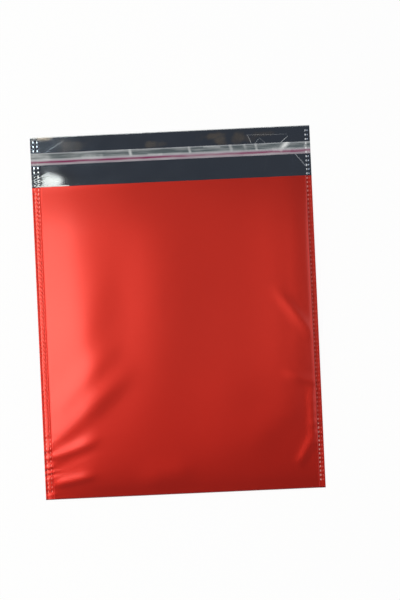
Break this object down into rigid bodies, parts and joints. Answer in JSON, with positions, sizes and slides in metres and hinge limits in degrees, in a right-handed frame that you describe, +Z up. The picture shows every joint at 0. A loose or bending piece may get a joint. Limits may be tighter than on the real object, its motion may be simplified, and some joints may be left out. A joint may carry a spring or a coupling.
{
  "type": "foil gift bag",
  "caption": "Flat metallised film gift bag, folded at the bottom and welded at both sides, with a sealing lip that carries adhesive tape under a release liner.",
  "frame": {"origin": "under the middle of the bag, on the surface that it lies on", "axes": "+X across the bag, +Y from the bottom fold to the top of the lip, +Z up through the front panel"},
  "size_m": [0.25, 0.324, 0.0089],
  "materials": {
    "red_foil": "satin metallised film, red outside and silver inside",
    "adhesive": "clear adhesive over silver film",
    "liner": "glossy clear release film with a coloured line"
  },
  "bodies": {
    "root": {"foil_bag": "red_foil", "adhesive_strip": "adhesive", "release_liner": "liner"}
  },
  "joints": []
}
